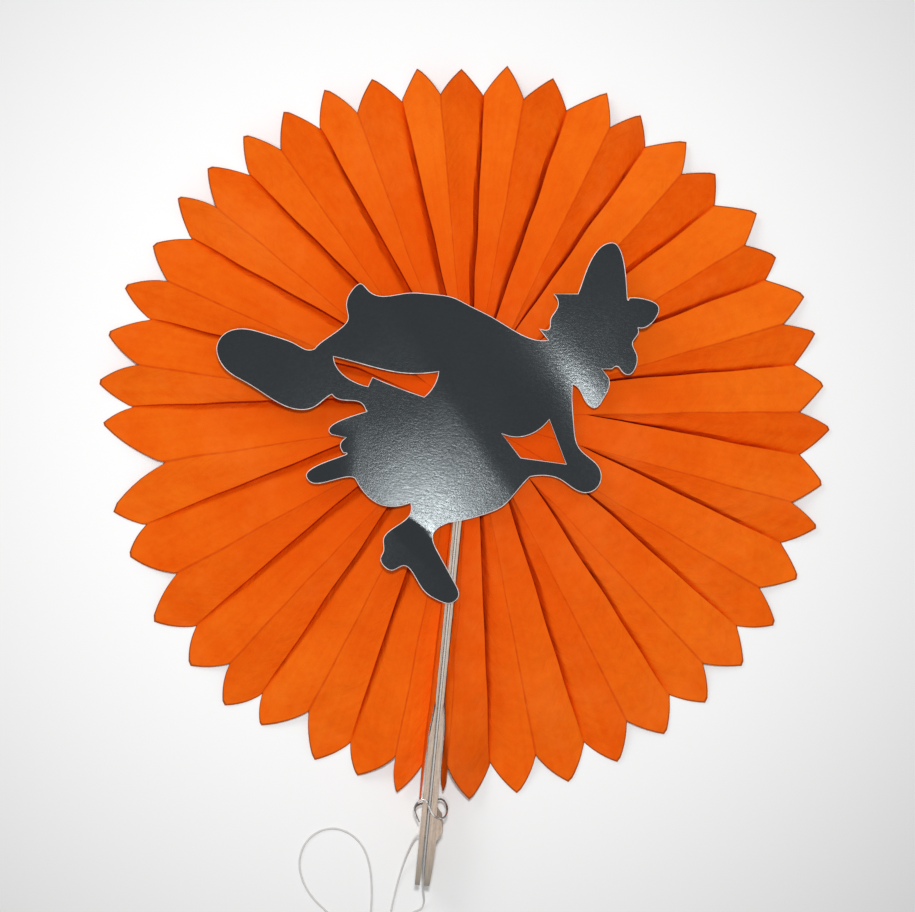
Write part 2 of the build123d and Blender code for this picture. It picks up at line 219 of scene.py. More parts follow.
@dataclass(frozen=True)
class OrangePaper:
    """Dyed poster paper: matt and finely crinkled, with painted shade at its folds, its cut edge,
    its middle and the first panels by the guard, and a painted sheen in pale patches.

    Painted light: the odd panels are a little paler than the even ones, most so about the lit
    panel.
    """

    colour: Colour = (0.75, 0.083, 0.0004)
    # pale serves the random tone and also the painted light on the paler panels.
    pale: Colour = (0.84, 0.148, 0.0050)
    painted_shade: Colour = (0.70, 0.058, 0.0006)
    fold_shade: Colour = (0.55, 0.042, 0.001)
    # Painted shade for the thin line along the cut edge.
    edge: Colour = (0.27, 0.055, 0.008)
    painted_sheen: Colour = (0.86, 0.175, 0.020)
    roughness: float = 0.7
    lit_panel: float = 19.0
    panels: int = 47
    painted_light_contrast: float = 0.13

    def material(self) -> bpy.types.Material:
        """Build the paper's material.

        Returns:
            The material.
        """
        tree = ShaderTree("orange_paper")
        across = tree.node("ShaderNodeSeparateXYZ", None, {0: tree.place(Coordinate.UV)}, "X")
        along = tree.node("ShaderNodeSeparateXYZ", None, {0: tree.place(Coordinate.UV)}, "Y")
        solid = tree.place()
        cloudy = tree.grain(solid, 55, 3)
        mottled = tree.grain(solid, 330, 3, 0.6)
        streaky = tree.grain(tree.place(Coordinate.UV, (2.2, 0.9, 1)), 3.0, 2)
        panel_tone = tree.node("ShaderNodeTexWhiteNoise", {"noise_dimensions": "1D"},
                               {"W": tree.maths("FLOOR", across)})
        # Painted light: the odd panels are painted paler and the even ones darker, most so about
        # the lit panel, as if lit from one side.
        flatter = tree.maths("FRACT", across * 0.5).above(0.5, 0.002)
        turned = tree.maths("COSINE", (across - self.lit_panel) * (math.tau / self.panels))
        tone = 0.55 * cloudy + 0.35 * mottled + 0.35 * streaky + 0.18 * panel_tone - 0.22
        tone = tone + (2 * flatter - 1) * (0.35 + 0.65 * turned) * self.painted_light_contrast
        paper = tree.blend(tone.above(0.5, 0.55), rgba(self.colour), rgba(self.pale))
        # Painted shade: darker towards the middle, and on the first panels beside the guard.
        middle = (1 - along).above(0.5, 0.6) * 0.8
        guard_shade = (7 - across).above(3, 6) * (1.1 - along)
        shaded = tree.maths("MAXIMUM", middle, guard_shade)
        paper = tree.blend(shaded, paper, rgba(self.painted_shade))
        # Painted shade along the folds: thin dark lines at the mountains and a faint one at the
        # valleys.
        rise = tree.maths("PINGPONG", across, 1.0)
        wander = tree.grain(tree.place(Coordinate.UV, (0.0, 1, 1)), 30, 2)
        mountain = rise.above(0.976, 0.02) * (0.1 + 0.9 * wander)
        valley = (1 - rise).above(0.972, 0.03)
        folds = tree.maths("MAXIMUM", mountain, valley * 0.15)
        with_fold_shade = tree.blend(folds, paper, rgba(self.fold_shade))
        # Painted sheen: pale patches where light would glance off the crinkled paper.
        painted_sheen = tree.grain(solid, 24, 4, 0.7).above(0.60, 0.16)
        with_fold_shade = tree.blend(painted_sheen * 0.25, with_fold_shade, rgba(self.painted_sheen))
        # Painted shade along the cut edge, in place of the thin shadow at the paper's edge.
        cut = along.above(0.9945, 0.0025)
        finished = tree.blend(cut * 0.85, with_fold_shade, rgba(self.edge))
        crinkle = tree.grain(solid, 260, 5, 0.62)
        buckle = tree.grain(solid, 75, 2)
        ripple = tree.grain(tree.place(Coordinate.UV, (0.06, 1, 1)), 40, 2, 0.5)
        relief = tree.bump(crinkle, 0.35, 0.0006)
        relief = tree.bump(buckle, 0.8, 0.0018, relief)
        relief = tree.bump(ripple, 0.35, 0.0010, relief)
        return tree.finish({"Base Color": finished, "Roughness": self.roughness,
                            "Specular IOR Level": 0.09, "Normal": relief})


@dataclass(frozen=True)
class BlackCard:
    """Black card with a soft printed sheen that shows its fibres."""

    colour: Colour = (0.0072, 0.0090, 0.0105)
    sheen: Colour = (0.88, 0.97, 1.0)
    roughness: float = 0.165

    def material(self) -> bpy.types.Material:
        """Build the card's material.

        Returns:
            The material.
        """
        tree = ShaderTree("black_card")
        solid = tree.place()
        speck = tree.grain(solid, 900, 3, 0.7)
        fibre = tree.grain(tree.place(Coordinate.OBJECT, (0.35, 1.0, 1.0)), 1400, 2, 0.6)
        cloud = tree.grain(solid, 40, 2)
        base = tree.blend(0.5 * speck + 0.5 * fibre, rgba(self.colour), rgba(self.colour, 1.9))
        rough = self.roughness + 0.16 * (speck - 0.5) + 0.10 * (cloud - 0.5)
        relief = tree.bump(0.6 * speck + 0.4 * fibre, 0.12, 0.0003)
        return tree.finish({"Base Color": base, "Roughness": rough, "Specular IOR Level": 0.34,
                            "Specular Tint": rgba(self.sheen), "Normal": relief})


@dataclass(frozen=True)
class WhiteCore:
    """The white core that shows where black card is cut."""

    colour: Colour = (0.90, 0.86, 0.84)

    def material(self) -> bpy.types.Material:
        """Build the core's material.

        Returns:
            The material.
        """
        tree = ShaderTree("white_card_core")
        fibre = tree.grain(tree.place(), 700, 3)
        base = tree.blend(fibre, rgba(self.colour, 0.86), rgba(self.colour))
        return tree.finish({"Base Color": base, "Roughness": 0.85,
                            "Normal": tree.bump(fibre, 0.3, 0.0003)})


@dataclass(frozen=True)
class Greyboard:
    """Bare greyboard: long fibres, plies along the edge and dirt at the far end."""

    pale: Colour = (0.66, 0.55, 0.46)
    dark: Colour = (0.32, 0.225, 0.165)
    grime: Colour = (0.20, 0.195, 0.16)
    ply: float = 0.0007
    grime_start: float = 0.176

    def material(self) -> bpy.types.Material:
        """Build the board's material.

        Returns:
            The material.
        """
        tree = ShaderTree("greyboard")
        long_fibre = tree.grain(tree.place(Coordinate.OBJECT, (1.0, 0.10, 1.0)), 1500, 3, 0.6)
        speck = tree.grain(tree.place(), 900, 3, 0.6)
        ply_place = tree.place(Coordinate.OBJECT, (1 / self.ply, 4.0, 4.0))
        plies = tree.grain(ply_place, 1.0, 2, 0.6)
        tone = (0.45 * long_fibre + 0.30 * speck + 0.45 * plies - 0.10).above(0.5, 0.5)
        board = tree.blend(tone, rgba(self.dark), rgba(self.pale))
        y = tree.node("ShaderNodeSeparateXYZ", None, {0: tree.place()}, "Y")
        dirty = (0 - y).above(self.grime_start, 0.02) * (0.45 + 0.5 * speck)
        finished = tree.blend(dirty, board, rgba(self.grime))
        relief = tree.bump(0.5 * long_fibre + 0.5 * speck, 0.6, 0.0004)
        return tree.finish({"Base Color": finished, "Roughness": 0.9,
                            "Specular IOR Level": 0.2, "Normal": relief})


@dataclass(frozen=True)
class RingSteel:
    """Plated spring wire with fine drawing lines and a little tarnish."""

    colour: Colour = (0.80, 0.785, 0.77)

    def material(self) -> bpy.types.Material:
        """Build the wire's material.

        Returns:
            The material.
        """
        tree = ShaderTree("ring_steel")
        tarnish = tree.grain(tree.place(), 420, 3, 0.6)
        base = tree.blend(tarnish.above(0.52, 0.12), rgba(self.colour), rgba(self.colour, 0.3))
        rough = 0.10 + 0.15 * tarnish
        return tree.finish({"Base Color": base, "Metallic": 1.0, "Roughness": rough,
                            "Normal": tree.bump(tarnish, 0.1, 0.0002)})


@dataclass(frozen=True)
class UndyedString:
    """Soft undyed cotton with loose fibres."""

    colour: Colour = (0.76, 0.75, 0.74)

    def material(self) -> bpy.types.Material:
        """Build the string's material.

        Returns:
            The material.
        """
        tree = ShaderTree("undyed_string")
        solid = tree.place()
        fibre = tree.grain(solid, 2600, 4, 0.7)
        stain = tree.grain(solid, 60, 2)
        base = tree.blend(fibre, rgba(self.colour, 0.72), rgba(self.colour))
        base = tree.blend(stain * 0.25, base, rgba((0.62, 0.56, 0.52)))
        return tree.finish({"Base Color": base, "Roughness": 0.92, "Specular IOR Level": 0.15,
                            "Normal": tree.bump(fibre, 0.5, 0.0003)})


@dataclass(frozen=True)
class TableTop:
    """A white table top with a painted pool of light: it turns a little greyer all round."""

    white: Colour = (0.985, 0.985, 0.985)
    falloff_grey: Colour = (0.613, 0.613, 0.613)
    centre: tuple[float, float] = (-0.0295, 0.0023)
    grey_radius: float = 0.33

    def material(self) -> bpy.types.Material:
        """Build the table's material.

        Returns:
            The material.
        """
        tree = ShaderTree("table_top")
        # Painted light: white about the centre, painted greyer out to the falloff radius and grey
        # beyond it, like light falling off.
        share = 1 / self.grey_radius
        place = tree.node("ShaderNodeMapping", None, {
            "Vector": tree.node("ShaderNodeTexCoord", output="Object"),
            "Location": (-self.centre[0] * share, -self.centre[1] * share, 0),
            "Scale": (share, share, 0)})
        away = tree.node("ShaderNodeVectorMath", {"operation": "LENGTH"}, {0: place}, "Value")
        mask = tree.maths("MINIMUM", away * away, 1.0)
        return tree.finish({"Base Color": tree.blend(mask, rgba(self.white), rgba(self.falloff_grey)),
                            "Roughness": 0.9, "Specular IOR Level": 0.1})


# Small helpers


def clamp(share: float) -> float:
    """A share kept between 0 and 1."""
    return min(max(share, 0.0), 1.0)


def activate(piece: Piece) -> None:
    """Make one piece the only selected object and the active one.

    Args:
        piece: the piece.
    """
    bpy.ops.object.select_all(action="DESELECT")
    piece.select_set(True)
    bpy.context.view_layer.objects.active = piece


def apply_modifier(piece: Piece, kind: str, **settings: Any) -> None:
    """Add a modifier with these settings and apply it.

    Args:
        piece: the piece.
        kind: the modifier's type.
        settings: its settings.
    """
    activate(piece)
    modifier = piece.modifiers.new(kind.title(), kind)
    for name, value in settings.items():
        setattr(modifier, name, value)
    bpy.ops.object.modifier_apply(modifier=modifier.name)


@contextmanager
def editing(piece: Piece) -> Iterator[None]:
    """Edit a piece's mesh, with all of it selected at the start.

    Args:
        piece: the piece.
    """
    activate(piece)
    bpy.ops.object.mode_set(mode="EDIT")
    bpy.ops.mesh.select_all(action="SELECT")
    yield
    bpy.ops.object.mode_set(mode="OBJECT")


def board_copy(node: str, name: str, merge: float = 0.01 * MM) -> Piece:
    """A merged copy of a CAD node, with flat sides made whole.

    Args:
        node: the CAD node's name.
        name: the copy's name.
        merge: corners nearer to each other than this become one.

    Returns:
        The copy, which is a closed mesh.
    """
    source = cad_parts[node]
    piece = bpy.data.objects.new(name, source.data.copy())
    bpy.context.scene.collection.objects.link(piece)
    piece.data.name = name
    piece.data.materials.clear()
    with editing(piece):
        bpy.ops.mesh.remove_doubles(threshold=merge)
        bpy.ops.mesh.dissolve_limited(angle_limit=math.radians(1.0))
    return piece


def slice_piece(piece: Piece, axis: int, start: float, end: float, step: float) -> None:
    """Cut a piece into even slices along one axis, so that it can be bent.

    Args:
        piece: the piece.
        axis: 0, 1 or 2 for x, y or z.
        start: where the slices start.
        end: where they end.
        step: about how long each one is.
    """
    normal = [0.0, 0.0, 0.0]
    normal[axis] = 1.0
    count = int((end - start) / step)
    with editing(piece):
        for index in range(1, count):
            place = [0.0, 0.0, 0.0]
            place[axis] = start + index * (end - start) / count
            bpy.ops.mesh.select_all(action="SELECT")
            bpy.ops.mesh.bisect(plane_co=place, plane_no=normal)


def move_vertices(piece: Piece, rule: Callable[[Vector], Vector]) -> None:
    """Move every vertex of a piece by a rule.

    Args:
        piece: the piece.
        rule: gives the new place for an old one.
    """
    for vertex in piece.data.vertices:
        vertex.co = rule(vertex.co.copy())
    piece.data.update()


def shade(piece: Piece, *materials: bpy.types.Material, angle: float = 40) -> None:
    """Give a piece its materials and smooth shading with sharp edges above an angle.

    Args:
        piece: the piece.
        materials: its materials in order.
        angle: in degrees.
    """
    piece.data.materials.clear()
    for material in materials:
        piece.data.materials.append(material)
    activate(piece)
    bpy.ops.object.shade_smooth_by_angle(angle=math.radians(angle))


def seat(piece: Piece, node: str) -> None:
    """Put a piece on the rosette in place of its CAD node.

    Args:
        piece: the piece.
        node: the CAD node's name.
    """
    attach(piece, "root")
    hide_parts(node)
    LOG.info("%s: %d faces", piece.name, len(piece.data.polygons))


# Camera and light


@dataclass(frozen=True)
class Lamp:
    """A round lamp that faces the rosette."""

    name: str
    place: Place
    power: float
    size: float
    glossy: bool = True

    def hang(self) -> None:
        """Hang the lamp, which shows in reflections only if it is glossy."""
        data = bpy.data.lights.new(self.name, "AREA")
        data.shape = "DISK"
        data.size = self.size
        data.energy = self.power
        lamp = bpy.data.objects.new(self.name, data)
        bpy.context.scene.collection.objects.link(lamp)
        lamp.location = self.place
        lamp.rotation_euler = (-Vector(self.place)).to_track_quat("-Z", "Y").to_euler()
        lamp.visible_glossy = self.glossy


@dataclass
class Studio:
    """The table, the lamps and the camera, which looks straight down."""

    height: float = 0.8
    centre: tuple[float, float] = (-0.00256, -0.01145)
    turn: float = 5.6
    seen_width: float = 0.3834
    sensor: float = 36.0
    table_side: float = 4.0
    lamps: Sequence[Lamp] = (
        Lamp("key_lamp", (0.0, 0.10, 0.86), 4.0, 0.06, False),
        Lamp("side_lamp", (-1.2, 1.1, 1.3), 8.0, 1.0, False),
        Lamp("fill_lamp", (-0.024, -0.080, 0.82), 1.0, 0.07),
    )
    sky: float = 0.30
    seen_sky: float = 0.85

    def build_camera(self) -> None:
        """Place the camera."""
        data = bpy.data.cameras.new("overhead_camera")
        data.sensor_width = self.sensor
        data.lens = self.sensor * self.height / self.seen_width
        data.clip_start = 0.01
        camera = bpy.data.objects.new("overhead_camera", data)
        bpy.context.scene.collection.objects.link(camera)
        camera.location = (*self.centre, self.height)
        camera.rotation_euler = (0, 0, math.radians(self.turn))
        bpy.context.scene.camera = camera

    def build_table(self) -> None:
        """Lay the table under the rosette."""
        bpy.ops.mesh.primitive_plane_add(size=self.table_side, location=(0, 0, 0))
        table = bpy.context.active_object
        table.name = "table_top"
        shade(table, TableTop().material())

    def light(self) -> None:
        """Hang the lamps and set the pale surroundings."""
        for lamp in self.lamps:
            lamp.hang()
        world = bpy.data.worlds.new("pale_room")
        world.use_nodes = True
        nodes, links = world.node_tree.nodes, world.node_tree.links
        background = nodes["Background"]
        background.inputs["Color"].default_value = (1.0, 1.0, 1.0, 1.0)
        path = nodes.new("ShaderNodeLightPath")
        strength = nodes.new("ShaderNodeMapRange")
        strength.inputs["To Min"].default_value = self.sky
        strength.inputs["To Max"].default_value = self.seen_sky
        shown = nodes.new("ShaderNodeMath")
        shown.operation = "MAXIMUM"
        links.new(path.outputs["Is Camera Ray"], shown.inputs[0])
        links.new(path.outputs["Is Glossy Ray"], shown.inputs[1])
        links.new(shown.outputs[0], strength.inputs["Value"])
        links.new(strength.outputs["Result"], background.inputs["Strength"])
        bpy.context.scene.world = world
        bpy.context.scene.view_settings.view_transform = "Standard"


# The string


STRING_ROUTE = (
    (0.0, -24.0, 19.0), (0.0, -100.0, 18.7), (0.02, -166.0, 17.4), (0.0, -179.5, 14.6),
    (0.3, -189.5, 9.8), (1.2, -194.8, 5.0), (1.8, -198.4, 1.5), (1.0, -201.8, 0.5),
    (-2.2, -203.2, 0.5), (-5.6, -206.0, 0.5), (-7.6, -211.0, 0.5), (-11.0, -216.4, 0.5),
    (-17.5, -219.4, 0.5), (-25.5, -218.4, 0.5), (-32.0, -213.2, 0.5), (-38.4, -206.6, 0.5),
    (-44.5, -202.2, 0.5), (-49.4, -196.0, 0.5), (-52.2, -188.4, 0.5), (-51.2, -180.2, 0.5),
    (-46.4, -174.0, 0.5), (-39.2, -171.2, 0.5), (-31.6, -173.0, 0.5), (-25.6, -178.2, 0.5),
    (-22.2, -186.0, 0.5), (-20.6, -195.0, 0.5), (-20.0, -204.0, 0.5), (-20.1, -210.4, 0.5),
    (-17.7, -212.8, 0.5), (-14.3, -212.8, 0.5), (-11.9, -210.4, 0.5), (-11.8, -204.8, 0.5),
    (-11.0, -197.8, 0.5), (-9.9, -190.6, 0.6), (-8.3, -182.6, 2.4), (-6.6, -176.2, 6.0),
    (-5.2, -171.8, 9.4), (-3.6, -168.9, 11.0), (-0.3, -168.5, 11.0),
)


def smooth_route(name: str, route: Sequence[Sequence[float]], resolution: int) -> list[Vector]:
    """The points of a smooth line that is drawn along a route.

    Args:
        name: the line's name while it is drawn.
        route: the line's control points, in millimetres.
        resolution: how many steps it has between two of them.

    Returns:
        The line's points, in metres.
    """
    curve = bpy.data.curves.new(name, "CURVE")
    curve.dimensions = "3D"
    curve.resolution_u = resolution
    spline = curve.splines.new("NURBS")
    spline.points.add(len(route) - 1)
    for point, place in zip(spline.points, route):
        point.co = (*(Vector(place) * MM), 1.0)
    spline.order_u = 3
    spline.use_endpoint_u = True
    drawn = bpy.data.objects.new(name, curve)
    bpy.context.scene.collection.objects.link(drawn)
    mesh = bpy.data.meshes.new_from_object(drawn)
    points = [vertex.co.copy() for vertex in mesh.vertices]
    bpy.data.meshes.remove(mesh)
    bpy.data.objects.remove(drawn)
    return points


def line_length(points: Sequence[Vector]) -> float:
    """The length of a line through points."""
    return sum((after - before).length for before, after in zip(points, points[1:]))


def even_points(points: Sequence[Vector], step: float) -> list[Vector]:
    """Points at even distances along a line.

    Args:
        points: the line's points.
        step: about how far apart they are.

    Returns:
        The points, with both ends.
    """
    total = line_length(points)
    count = max(int(round(total / step)), 2)
    even = [points[0].copy()]
    wanted = total / count
    travelled = 0.0
    for before, after in zip(points, points[1:]):
        length = (after - before).length
        while length > 0 and travelled + length >= wanted * len(even) and len(even) < count:
            share = (wanted * len(even) - travelled) / length
            even.append(before.lerp(after, share))
        travelled += length
    even.append(points[-1].copy())
    return even


def wound_tube(name: str, places: Sequence[Vector], radius: float) -> Piece:
    """A round tube through points, as a closed mesh.

    Args:
        name: the tube's name.
        places: the points of its line.
        radius: its radius.

    Returns:
        The tube.
    """
    curve = bpy.data.curves.new(name, "CURVE")
    curve.dimensions = "3D"
    curve.bevel_depth = radius
    curve.bevel_resolution = 1
    curve.use_fill_caps = True
    spline = curve.splines.new("POLY")
    spline.points.add(len(places) - 1)
    for point, place in zip(spline.points, places):
        point.co = (*place, 1.0)
    tube = bpy.data.objects.new(name, curve)
    bpy.context.scene.collection.objects.link(tube)
    activate(tube)
    bpy.ops.object.convert(target="MESH")
    return bpy.context.active_object


@dataclass
class HangingString:
    """Three cotton strands laid together, held in the guards and looped on the table."""

    diameter: float = 0.9 * MM
    lay: float = 2.6 * MM
    steps_a_turn: int = 9
    strands: int = 3
    strand_share: float = 0.56
    free_length: float = 0.387
    exit: Place = (-0.0029, -0.1686, 0.011)
    route: Sequence[Place] = STRING_ROUTE

    def helix(self, points: Sequence[Vector], phase: float, reach: float) -> list[Vector]:
        """One strand's line, wound about the string's own line.

        Args:
            points: the string's line, at even steps.
            phase: the turn at which the strand starts.
            reach: its distance from the string's line.

        Returns:
            The strand's points.
        """
        side = (points[1] - points[0]).orthogonal().normalized()
        wound = []
        for index, point in enumerate(points):
            along = points[min(index + 1, len(points) - 1)] - points[max(index - 1, 0)]
            along.normalize()
            side = (side - along * side.dot(along)).normalized()
            angle = phase + 2 * math.pi * index / self.steps_a_turn
            wound.append(point + (Matrix.Rotation(angle, 3, along) @ side) * reach)
        return wound

    def build(self) -> None:
        line = smooth_route("string_line", self.route, 12)
        points = even_points(line, self.lay / self.steps_a_turn)
        strand_radius = self.diameter / 2 * self.strand_share
        reach = self.diameter / 2 - strand_radius
        strands = []
        for index in range(self.strands):
            line = self.helix(points, 2 * math.pi * index / self.strands, reach)
            strands.append(wound_tube(f"strand_{index}", line, strand_radius))
        activate(strands[0])
        for strand in strands:
            strand.select_set(True)
        bpy.ops.object.join()
        piece = bpy.context.active_object
        piece.name = "twisted_string"
        shade(piece, UndyedString().material(), angle=60)
        seat(piece, "hanging_string")
        LOG.info("string length %.4f m", line_length(points))


# The pleated sheet


@dataclass
class PleatedSheet:
    """One orange sheet, folded, opened to a full turn and cut to petals."""

    thickness: float = 0.2 * MM
    pleat_width: float = 20.0 * MM
    notch_radius: float = 142.0 * MM
    tip_radius: float = 152.5 * MM
    tip_limits: tuple[float, float] = (0.15, 0.85)
    petal_bulge: float = 0.045
    bulge_swing: float = 0.02
    swing_turn: float = 320.0
    cut_steps: int = 10
    cut_range: tuple[float, float] = (0.7, 1.35)
    halvings: int = 24
    least_rim_height: float = 3.0 * MM
    inner_radius: float = 6.0 * MM
    mountain_pivot_y: float = 5.0 * MM
    valley_pivot_y: float = 14.5 * MM
    pivot_x: float = 1.75 * MM
    crease_reach: float = 1.5 * MM
    first_turn: float = 1.4
    columns: int = 16
    rows: int = 46
    row_crowding: float = 1.25
    lift: float = 0.05 * MM
    board_side: float = 1.9 * MM
    held_end: float = 136 * MM
    held_run: float = 8 * MM
    slim_end: float = -112 * MM
    slim_run: float = 13 * MM
    built_up: float = 1.5 * MM
    flat_bend: float = 0.988
    flat_soft: float = 0.006
    flat_drop: tuple[float, float] = (0.06, 0.86)
    band: float = 0.42
    rim_band: float = 0.05
    slope: float = 0.24
    depth: float = 0.66
    end_depth: float = 0.45
    wave_size: float = 1.2 * MM
    crumple_size: float = 0.5 * MM
    sway_size: float = 0.5 * MM
    full_relief: float = 4 * MM
    valley_notch: float = 0.986
    mountain_notch: float = 0.979
    openings: Sequence[float] = (
        1.0, 7.3, 7.9, 8.6, 8.2, 8.6, 7.9, 8.6, 7.7, 8.5, 7.2, 8.3,
        7.4, 8.1, 7.2, 8.2, 7.0, 8.5, 7.8, 7.8, 6.9, 8.0, 7.6, 7.0,
        7.3, 6.7, 7.9, 7.0, 7.6, 6.9, 7.9, 6.9, 8.3, 7.3, 8.0, 7.3,
        10.2, 10.2, 10.0, 9.5, 8.6, 7.7, 8.5, 8.8, 8.1, 4.9, 0.2,
    )
    tip_reaches: Sequence[float] = (
        0.985, 1.010, 1.010, 1.010, 1.005, 1.000, 1.000, 1.000, 1.005, 1.000, 1.000, 0.990,
        1.000, 0.990, 0.995, 1.000, 0.975, 0.995, 0.980, 0.995, 0.985, 1.000, 0.990, 1.000,
        0.985, 0.995, 0.995, 1.010, 1.005, 1.010, 1.010, 1.015, 1.000, 1.020, 1.020, 1.020,
        1.000, 1.000, 0.990, 1.010, 1.000, 1.010, 0.990, 1.000, 0.995, 1.010, 1.010,
    )
    tip_turns: dict[int, float] = field(default_factory=lambda: {
        11: 0.8, 13: 0.8, 15: 0.9, 16: -0.8, 17: -0.9, 18: -1.0, 20: -1.1, 22: -1.1,
        32: -0.8, 37: -2.3, 38: 1.4, 39: -1.0, 43: -1.6, 45: -1.2, 46: -1.1,
    })
    deep_notches: dict[int, float] = field(default_factory=lambda: {37: 0.91, 39: 0.97, 43: 0.97})

    def __post_init__(self) -> None:
        """Work out every fold's turn, its two ends and the petals' cut line."""
        self.turns = [self.first_turn]
        for opening in self.openings:
            self.turns.append(self.turns[-1] + opening)
        self.lines = [self.fold_line(number) for number in range(len(self.turns))]
        self.cut_lines = [self.petal_line(number) for number in range(len(self.openings))]

    @staticmethod
    def polar(radius: float, turn: float, z: float = 0.0) -> Vector:
        """A point at a radius and a turn from the guards."""
        angle = math.radians(turn)
        return Vector((radius * math.sin(angle), -radius * math.cos(angle), z))

    def panel_height(self, opening: float) -> float:
        """How high a panel stands when it opens by this much at the rim."""
        chord = 2 * self.notch_radius * math.sin(math.radians(opening) / 2)
        return math.sqrt(max(self.pleat_width**2 - chord**2, 0))

    def rim_height(self, number: int) -> float:
        """A fold's height at the rim.

        Args:
            number: the fold's number.

        Returns:
            The height.
        """
        if number == len(self.openings):
            return self.pleat_width - self.thickness
        if number % 2 == 0:
            return self.thickness / 2
        before, after = self.openings[number - 1:number + 1]
        both = self.panel_height(before) + self.panel_height(after)
        return max(both / 2, self.least_rim_height)

    def fold_line(self, number: int) -> tuple[Vector, Vector]:
        """The inner end of a fold, and its point at the rim.

        Args:
            number: the fold's number.

        Returns:
            The two points.
        """
        turn = self.turns[number]
        valley = number % 2 == 0
        pivot_y = self.valley_pivot_y if valley else self.mountain_pivot_y
        start = self.crease_reach if valley else self.pleat_width - self.crease_reach
        pivot = Vector((self.pivot_x * math.cos(math.radians(turn) / 2), pivot_y, 0))
        inner = pivot + self.polar(self.inner_radius, turn, start)
        return inner, self.polar(self.notch_radius, turn, self.rim_height(number))

    def notch(self, number: int) -> float:
        """The radius at which the cut meets a fold."""
        usual = self.valley_notch if number % 2 == 0 else self.mountain_notch
        return self.notch_radius * self.deep_notches.get(number, 1) * usual

    def petal_line(self, number: int) -> list[tuple[float, float]]:
        """The cut line of a petal, as pairs of a turn and a radius.

        Args:
            number: the panel's number.

        Returns:
            The pairs, from the panel's first fold to its second.
        """
        first = self.polar(self.notch(number), self.turns[number])
        last = self.polar(self.notch(number + 1), self.turns[number + 1])
        middle = (self.turns[number] + self.turns[number + 1]) / 2
        middle += self.tip_turns.get(number + 1, 0)
        tip = self.polar(self.tip_radius * self.tip_reaches[number], middle)
        found = []
        for start, end in ((first, tip), (tip, last)):
            chord = end - start
            swing = self.bulge_swing * math.cos(math.radians(middle - self.swing_turn))
            outward = chord.cross(UP) * (self.petal_bulge + swing)
            for step in range(self.cut_steps + 1):
                share = step / self.cut_steps
                place = start + chord * share + outward * (4 * share * (1 - share))
                turn = math.degrees(math.atan2(place.x, -place.y)) % 360
                found.append((turn, place.xy.length))
        return found

    def cut_radius(self, number: int, turn: float) -> float:
        """The radius of a petal's cut line at a turn.

        Args:
            number: the panel's number.
            turn: the turn.

        Returns:
            The radius.
        """
        line = self.cut_lines[number]
        if turn <= line[0][0]:
            return line[0][1]
        for before, after in zip(line, line[1:]):
            if turn <= after[0]:
                span = max(after[0] - before[0], 1e-9)
                return before[1] + (after[1] - before[1]) * (turn - before[0]) / span
        return line[-1][1]

    def across(self, number: int, column: int) -> float:
        """The share across a panel at a column: close together by the folds, one at the tip.

        Args:
            number: the panel's number.
            column: the column, counted from its first fold.

        Returns:
            The share, from 0 to 1.
        """
        half = self.columns // 2
        turned = self.cut_lines[number][self.cut_steps][0] - self.turns[number]
        least, most = self.tip_limits
        tip = min(max(turned / self.openings[number], least), most)
        if column <= half:
            return tip * self.ease(column / half)
        return 1 - (1 - tip) * self.ease((self.columns - column) / half)

    @staticmethod
    def ease(share: float) -> float:
        """A share that starts with small steps."""
        return 0.45 * share + 0.55 * share**2

    def ray(self, number: int, share: float, along: float) -> Vector:
        """A point between two folds, on flat panels, in plan and in height.

        Args:
            number: the panel's number.
            share: the share across it.
            along: the share along its folds, 1 at the rim.

        Returns:
            The point.
        """
        first, second = self.lines[number], self.lines[number + 1]
        near = first[0].lerp(second[0], share)
        far = first[1].lerp(second[1], share)
        return near.lerp(far, along) if along <= 1 else far + (far - near) * (along - 1)

    def cut_along(self, number: int, share: float) -> float:
        """How far along its ray a panel is cut.

        Args:
            number: the panel's number.
            share: the share across it.

        Returns:
            The share along its folds, 1 at the rim.
        """
        low, high = self.cut_range
        for _ in range(self.halvings):
            middle = (low + high) / 2
            point = self.ray(number, share, middle)
            turn = math.degrees(math.atan2(point.x, -point.y)) % 360
            if point.xy.length < self.cut_radius(number, turn):
                low = middle
            else:
                high = middle
        return (low + high) / 2

    def profile(self, number: int, down: float, along: float) -> float:
        """The share of the drop at a share of the way from mountain to valley.

        Args:
            number: the panel's number, the odd ones lie flatter.
            down: the share of the way, 0 at the mountain and 1 at the valley.
            along: the share of the way along the folds, 1 at the rim.

        Returns:
            The share of the drop, 0 at the mountain and 1 at the valley.
        """
        along = clamp(along)
        wobble = noise.noise(Vector((along * 9, number * 3.7, 0)))
        if number % 2:
            bend, soft = self.flat_bend, self.flat_soft
            drop = self.flat_drop[0] + self.flat_drop[1] * along**6
        else:
            bend = 1 - (self.band * (1 - along) ** 1.3 + self.rim_band) * (1 + 0.35 * wobble)
            soft = 0.2 * (1 - bend)
            drop = bend * (self.slope + (1 - self.slope) * along**5)
        gentle = drop * down / bend
        steep = drop + (1 - drop) * (down - bend) / (1 - bend)
        mix = clamp((down - bend + soft) / (2 * soft))
        if mix in (0.0, 1.0):
            return clamp(max(gentle, steep))
        return clamp(gentle + (steep - gentle) * mix**2 * (3 - 2 * mix))

